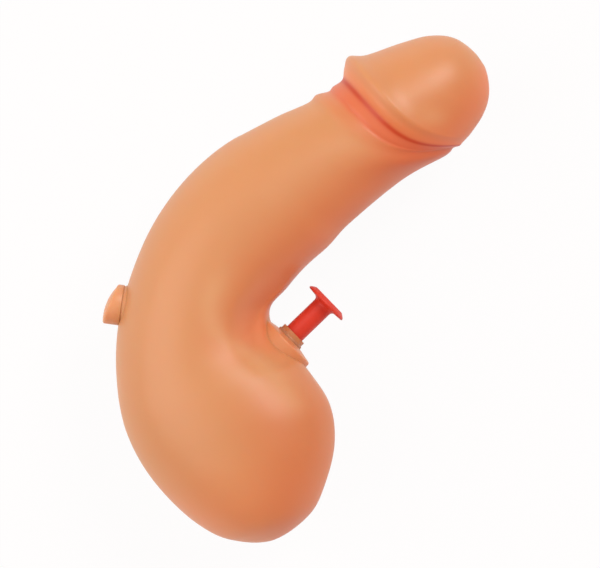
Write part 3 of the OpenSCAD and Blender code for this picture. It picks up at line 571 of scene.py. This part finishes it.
def solid_object(name, points, faces, keep_above):
    """A closed solid, cut off at the parting plane when keep_above is set."""
    piece = mesh_object(name, points, faces)
    shape = bmesh.new()
    shape.from_mesh(piece.data)
    bmesh.ops.recalc_face_normals(shape, faces=shape.faces)
    if keep_above:
        level = (bend_centre[2] + SEAM_HEIGHTS[0]) * MM
        whole = shape.verts[:] + shape.edges[:] + shape.faces[:]
        cut = bmesh.ops.bisect_plane(shape, geom=whole, plane_co=(0, 0, level), plane_no=(0, 0, 1),
                                     clear_inner=True)
        rim = [e for e in cut["geom_cut"] if isinstance(e, bmesh.types.BMEdge)]
        bmesh.ops.contextual_create(shape, geom=rim)
        bmesh.ops.recalc_face_normals(shape, faces=shape.faces)
    shape.to_mesh(piece.data)
    shape.free()
    return piece


def combine(piece, other, operation):
    """Joins a helper solid to a piece, or cuts it out, and removes the helper."""
    modifier = piece.modifiers.new(operation, "BOOLEAN")
    modifier.operation = operation
    modifier.solver = "EXACT"
    modifier.object = other
    bpy.context.view_layer.update()
    evaluated = piece.evaluated_get(bpy.context.evaluated_depsgraph_get())
    mesh = bpy.data.meshes.new_from_object(evaluated)
    piece.modifiers.clear()
    old = piece.data
    piece.data = mesh
    bpy.data.meshes.remove(old)
    bpy.data.objects.remove(other)


BOSS_SIDES, HOLE_SIDES = 128, 64
boss_points, boss_faces = turned_points(boss_profile, seat, trigger_axis, BOSS_SIDES)
hole_solids = [
    turned_points([(0, low), (r, low), (r, high), (0, high)], origin, axis, HOLE_SIDES)
    for r, low, high, origin, axis in (
        (COLLAR_HOLE_R, -BOSS_DEPTH - 2, BOSS_TOP + 2, seat, trigger_axis),
        (TIP_HOLE_R, -8, 2, tip, barrel_dir),
        (FILL_HOLE_R, neck_rim - 8, neck_rim + 3, bend_centre, plug_axis))]

right_points = np.array(layer_points) + bend_centre
right_half = mesh_object("right_half", right_points, shell_faces)
for name, grid in paint_shares.items():
    values = np.zeros(2 * LAYER)
    values[1:LAYER - 1] = grid.ravel()
    right_half.data.attributes.new(name, "FLOAT", "POINT").data.foreach_set("value", values)
combine(right_half, solid_object("boss", boss_points, boss_faces, True), "UNION")
for points, faces in hole_solids:
    combine(right_half, solid_object("hole", points, faces, False), "DIFFERENCE")

# The boss takes one even, light share of the belly's painted shade, and none of the other paints, in place of what
# the skin carries beneath it
BOSS_PAINTED_SHADE, BOSS_EDGE = 0.45, 0.45
around = np.array([v.co for v in right_half.data.vertices]) / MM - seat
on_boss = np.linalg.norm(np.cross(around, trigger_axis), axis=1) < BOSS_R + BOSS_EDGE
on_boss &= np.abs(around @ trigger_axis) < BOSS_DEPTH
for name in paint_shares:
    attribute = right_half.data.attributes[name].data
    values = np.zeros(len(attribute), dtype=np.float32)
    attribute.foreach_get("value", values)
    values[on_boss] = BOSS_PAINTED_SHADE if name == "belly_painted_shade" else 0
    attribute.foreach_set("value", values)

left_half = bpy.data.objects.new("left_half", right_half.data.copy())
scene.collection.objects.link(left_half)
mirror_z = Matrix.Translation((0, 0, 2 * bend_centre[2] * MM)) @ Matrix.Scale(-1, 4, (0, 0, 1))
left_half.data.transform(mirror_z)
left_half.data.flip_normals()
for half, shell in ((right_half, "right_shell"), (left_half, "left_shell")):
    smooth(half)
    finish_piece(half, pvc, "body", "flesh_pvc", shell)


# Push trigger: one red moulding, a round stem under a finger disc whose edge is thin and rounded.
# It slides along its stem and is pushed out by the return spring; the piston snaps on to its inner end.
STEM_R, DISC_R, DISC_T = 2.95, 6.6, 1.9
TENON_R, TENON_PROUD = 1.6, 0.6
PISTON_FACE, PISTON_END = -10.9, -15.4
DISC_UNDER = DISC_FACE - DISC_T
trigger = turned("push_trigger", [
    (0, PISTON_END - TENON_PROUD), (TENON_R, PISTON_END - TENON_PROUD, 0.3), (TENON_R, PISTON_FACE),
    (STEM_R, PISTON_FACE, 0.3), (STEM_R, DISC_UNDER + 0.02, 1.1), (DISC_R - 0.3, DISC_UNDER + 0.3, 0.3),
    (DISC_R, DISC_UNDER + 0.62, 0.2), (DISC_R - 0.35, DISC_UNDER + 1.1, 0.4), (DISC_R - 1.5, DISC_FACE, 1.0),
    (0, DISC_FACE)], seat, trigger_axis)

# Red polypropylene from a polished tool: a soft gloss, with faint swirls of colour that the flow leaves.
FLOW_MM = 2.5
red, tree = new_material("polished_polypropylene")
flow = noise(tree, FLOW_MM, Detail=3.0, Distortion=1.2)
surface(tree, {"Base Color": blend(tree, flow, "#D63F2E", "#E04B37"),
               "Roughness": spread(tree, flow, 0.46, 0.54), "Normal": bumped(tree, flow, 0.05), "IOR": 1.49})
finish_piece(trigger, red, "trigger", "red_plastic", "trigger")


# Trigger collar: a tan bush that guides the stem, with a ring outside, a neck through the boss and
# a spigot in the pump's mouth. It is moulded in one piece and pressed into the pump.
COLLAR_T, PUMP_FACE, COLLAR_END = 0.7, -4.0, -9.0
COLLAR_NECK_R, SPIGOT_R, STEM_PLAY = 3.8, 4.98, 0.05
stem_hole = STEM_R + STEM_PLAY
collar = turned("stem_collar", [
    (stem_hole, COLLAR_END), (SPIGOT_R, COLLAR_END, 0.3), (SPIGOT_R, PUMP_FACE), (COLLAR_NECK_R, PUMP_FACE),
    (COLLAR_NECK_R, BOSS_TOP), (COLLAR_R, BOSS_TOP), (COLLAR_R, BOSS_TOP + COLLAR_T, 0.3),
    (stem_hole, BOSS_TOP + COLLAR_T, 0.3)],
    seat, trigger_axis)

# Uncoated acetal in tan: dull, with soft bands about 3 mm apart where the flow folded in the mould.
# The wave texture goes through 20 radians to a unit of its scale.
BAND_MM, WAVE_RADIANS = 3.14, 20
tan, tree = new_material("moulded_acetal")
place = add(tree, "ShaderNodeTexCoord").outputs["Object"]
wave_scale = 2 * math.pi / (WAVE_RADIANS * BAND_MM * MM)
bands = add(tree, "ShaderNodeTexWave", {"Vector": place, "Scale": wave_scale, "Distortion": 1.5, "Detail": 2.0})
bands = bands.outputs[1]
surface(tree, {"Base Color": blend(tree, bands, "#B98F6D", "#C79F7B"), "Roughness": 0.48,
               "Normal": bumped(tree, bands, 0.06), "IOR": 1.48})
finish_piece(collar, tan, "body", "tan_plastic", "trigger_collar")


# Fill neck: a flanged bush of the body's own plastic, moulded in one piece and bonded into the fill hole
# at the back. Its rim is level with the skin, and the plug's head sits on it.
FILL_R, FLANGE_R, NECK_LEN, FLANGE_T = 4.0, 5.7, 7.2, 3.0
NECK_WALL = 0.8
RIM_R, RIM_STEP, SEAM = 5.45, -1.2, -0.85
neck = turned("fill_bush", [
    (FILL_R, -FLANGE_T - NECK_LEN), (FILL_R + NECK_WALL, -FLANGE_T - NECK_LEN, 0.3),
    (FILL_R + NECK_WALL, -FLANGE_T), (FLANGE_R, -FLANGE_T), (FLANGE_R, RIM_STEP, 0.2), (RIM_R, RIM_STEP),
    (RIM_R, SEAM, 0.1), (FILL_R, SEAM, 0.2)],
    bend_centre + neck_rim * plug_axis, plug_axis)

# The body's PVC, left unsprayed and made a little lighter than the body as painted light, so that the small plug
# and bush show as bright as the skin
cap_pvc_painted_light = moulded_pvc("moulded_pvc_caps_painted_light", "#DEAB79", "#E2B181")
finish_piece(neck, cap_pvc_painted_light, "body", "flesh_pvc", "fill_neck")


# Fill plug: a push-in stopper of the same plastic. Its head is a slice of a ball, thick on one side
# and thin on the other so that a nail gets under it, and its hollow shank springs into the bush.
PLUG_HEAD, DOME_R, DOME_SHIFT = 4.1, 14.3, 3.5
SHANK_R, SHANK_LEN, CUP_R, HEAD_EDGE = 3.95, 7.5, 2.7, 0.7
UNDER, CUP_TOP = SEAM + 0.05, (0, -0.8)
AROUND, HEAD_STEPS, EDGE_STEPS = 96, 12, 6
thick_way = np.array([-plug_axis[1], plug_axis[0], 0.0])
side_way = np.cross(plug_axis, thick_way)


def dome_level(x, y):
    """The head's level over the bush's datum, on a ball whose top is shifted to the thick side."""
    return PLUG_HEAD - DOME_R + math.sqrt(DOME_R ** 2 - (x - DOME_SHIFT) ** 2 - y ** 2)


plug_points, plug_rings = [], []
paths = [("top", k / HEAD_STEPS) for k in range(HEAD_STEPS + 1)]
paths += [("edge", k / EDGE_STEPS) for k in range(1, EDGE_STEPS + 1)]
paths += [("low", corner) for corner in (
    (FLANGE_R, UNDER + 0.15), (FLANGE_R - 0.05, UNDER + 0.05), (FLANGE_R - 0.15, UNDER), (SHANK_R, UNDER),
    (SHANK_R, 0.6 - SHANK_LEN), (SHANK_R - 0.2, 0.2 - SHANK_LEN), (SHANK_R - 0.5, -SHANK_LEN),
    (CUP_R, -SHANK_LEN), (CUP_R, -1.0), CUP_TOP)]
for kind, at in paths:
    count = 1 if (kind, at) in (("top", 0.0), ("low", CUP_TOP)) else AROUND
    plug_rings.append(list(range(len(plug_points), len(plug_points) + count)))
    for k in range(count):
        c, d = math.cos(2 * math.pi * k / AROUND), math.sin(2 * math.pi * k / AROUND)
        if kind == "low":
            r, level = at
        else:
            inner_r = FLANGE_R - HEAD_EDGE
            fall = 0.0 if kind == "top" else at * math.pi / 2
            r = inner_r * at if kind == "top" else inner_r + HEAD_EDGE * math.sin(fall)
            flat_r = min(r, inner_r)
            level = dome_level(flat_r * c, flat_r * d) - HEAD_EDGE * (1 - math.cos(fall))
        plug_points.append(bend_centre + (neck_rim + level) * plug_axis + r * (c * thick_way + d * side_way))
plug_faces = []
for p, q in zip(plug_rings, plug_rings[1:]):
    for k in range(AROUND):
        n = (k + 1) % AROUND
        loop = [p[k % len(p)], p[n % len(p)], q[n % len(q)], q[k % len(q)]]
        plug_faces.append(list(dict.fromkeys(loop)))
plug = solid_object("fill_stopper", plug_points, plug_faces, False)
smooth(plug)
finish_piece(plug, cap_pvc_painted_light, "fill_plug", "flesh_pvc", "fill_plug")


# Nozzle: a tan insert of the same acetal as the collar, moulded in one piece with the jet hole in it and
# bonded behind the tip. Only its end shows, so it keeps its own mesh and takes a material.
def dress(material, *names):
    """Gives nodes that keep their own mesh a material."""
    for name in names:
        nodes[name].data.materials.clear()
        nodes[name].data.materials.append(material)


dress(tan, "nozzle")


# Pump: cylinder, piston, inlet fitting and outlet valve seat, injection moulded in uncoloured
# polypropylene. The piston snaps on to the trigger's stem, and the fittings are pressed in.
# Uncoloured polypropylene is milky, waxy to the eye, and shows cloudy flow marks of about 4 mm.
MILK_MM = 4.0
milky, tree = new_material("uncoloured_polypropylene")
cloud = noise(tree, MILK_MM, Detail=3.0, Distortion=0.8)
surface(tree, {"Base Color": blend(tree, cloud, "#DEDACF", "#EDEAE2"),
               "Roughness": spread(tree, cloud, 0.4, 0.5), "IOR": 1.49, "Subsurface Weight": 0.15,
               "Subsurface Radius": (1.0, 0.9, 0.8), "Subsurface Scale": 1.5 * MM})
dress(milky, "pump_barrel", "piston", "inlet_fitting", "valve_seat")


# Tubes: clear PVC, extruded and cut to length, pushed over the barbs of the pump and its fittings.
# The die leaves the surface uneven, so it looks slightly frosted, in patches of about 1.2 mm.
FROST_MM = 1.2
clear, tree = new_material("extruded_clear_pvc")
frost = noise(tree, FROST_MM, Detail=2.0)
surface(tree, {"Base Color": linear("#E6ECEB"), "Roughness": spread(tree, frost, 0.1, 0.22),
               "Normal": bumped(tree, frost, 0.08), "IOR": 1.53, "Transmission Weight": 0.75})
dress(clear, "dip_tube", "outlet_tube")


# Seals: two ring seals and two flat washers of black nitrile rubber, moulded, held by their neighbours.
# Nitrile is matt and picks up a light dusty bloom.
BLOOM_MM = 1.5
nitrile, tree = new_material("moulded_nitrile")
bloom = noise(tree, BLOOM_MM, Detail=4.0)
surface(tree, {"Base Color": blend(tree, bloom, "#252525", "#3E3D3C"), "Roughness": 0.72,
               "Normal": bumped(tree, bloom, 0.1), "IOR": 1.52})
dress(nitrile, "stem_seal", "barrel_gasket", "piston_ring", "nozzle_washer")


# Check balls and springs: stainless steel. The balls are ground, the springs are wound from drawn wire
# with a closed coil at each end. They shorten as the trigger and the outlet ball move, but each is drawn here at
# one length.
DRAW_MM = 0.8
steel, tree = new_material("drawn_stainless")
draw = noise(tree, DRAW_MM, Detail=3.0, Distortion=1.0)
surface(tree, {"Base Color": blend(tree, draw, "#AEB2B6", "#C4C8CB"), "Metallic": 1.0,
               "Roughness": spread(tree, draw, 0.2, 0.32)})
dress(steel, "inlet_ball", "outlet_ball")

COIL_STEPS, WIRE_SIDES = 28, 10
# Rise of a closed coil, in wire radii
CLOSED_RISE = 2.05


def spring(name, mean_r, wire_r, length, turns, start, axis):
    """A compression spring with closed ends, from start along axis, as one swept wire with capped ends."""
    axis = Vector(axis)
    sideways = axis.orthogonal().normalized()
    across = axis.cross(sideways)
    pitch = (length - 2 * wire_r - 2 * CLOSED_RISE * wire_r) / (turns - 2)
    points, faces = [], []
    steps = turns * COIL_STEPS
    for i in range(steps + 1):
        wound = i / COIL_STEPS
        level = wire_r + CLOSED_RISE * wire_r * (min(1, wound) + max(0, wound - turns + 1))
        level += pitch * max(0, min(turns - 2, wound - 1))
        around = 2 * math.pi * wound
        spoke = sideways * math.cos(around) + across * math.sin(around)
        for j in range(WIRE_SIDES):
            tilt = 2 * math.pi * j / WIRE_SIDES
            points.append(Vector(start) + spoke * (mean_r + wire_r * math.cos(tilt))
                          + axis * (level + wire_r * math.sin(tilt)))
    for i in range(steps):
        for j in range(WIRE_SIDES):
            n = (j + 1) % WIRE_SIDES
            faces.append([i * WIRE_SIDES + j, i * WIRE_SIDES + n, (i + 1) * WIRE_SIDES + n,
                          (i + 1) * WIRE_SIDES + j])
    faces.append(list(range(WIRE_SIDES)))
    faces.append([steps * WIRE_SIDES + j for j in range(WIRE_SIDES)])
    piece = solid_object(name, points, faces, False)
    smooth(piece)
    return piece


RETURN_R, RETURN_WIRE_R, RETURN_TURNS, RETURN_PLAY = 3.3, 0.3, 7, 0.05
BORE_END, RETURN_CLOSED = -31.4, 6.0
return_length = PISTON_END - BORE_END - 2 * RETURN_PLAY
return_start = seat + (BORE_END + RETURN_PLAY) * trigger_axis
return_coil = spring("return_coil", RETURN_R, RETURN_WIRE_R, return_length, RETURN_TURNS, return_start,
                     trigger_axis)
finish_piece(return_coil, steel, "body", "spring_steel", "return_spring")
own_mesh(return_coil)

OUTLET_R, OUTLET_WIRE_R, OUTLET_TURNS = 1.7, 0.18, 5
OUTLET_LEN, OUTLET_FROM, BALL_LIFT = 4.4, 6.08, 1.2
outlet_start = tip - OUTLET_FROM * barrel_dir
outlet_coil = spring("outlet_coil", OUTLET_R, OUTLET_WIRE_R, OUTLET_LEN, OUTLET_TURNS, outlet_start,
                     -barrel_dir)
finish_piece(outlet_coil, steel, "body", "spring_steel", "outlet_spring")
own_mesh(outlet_coil)
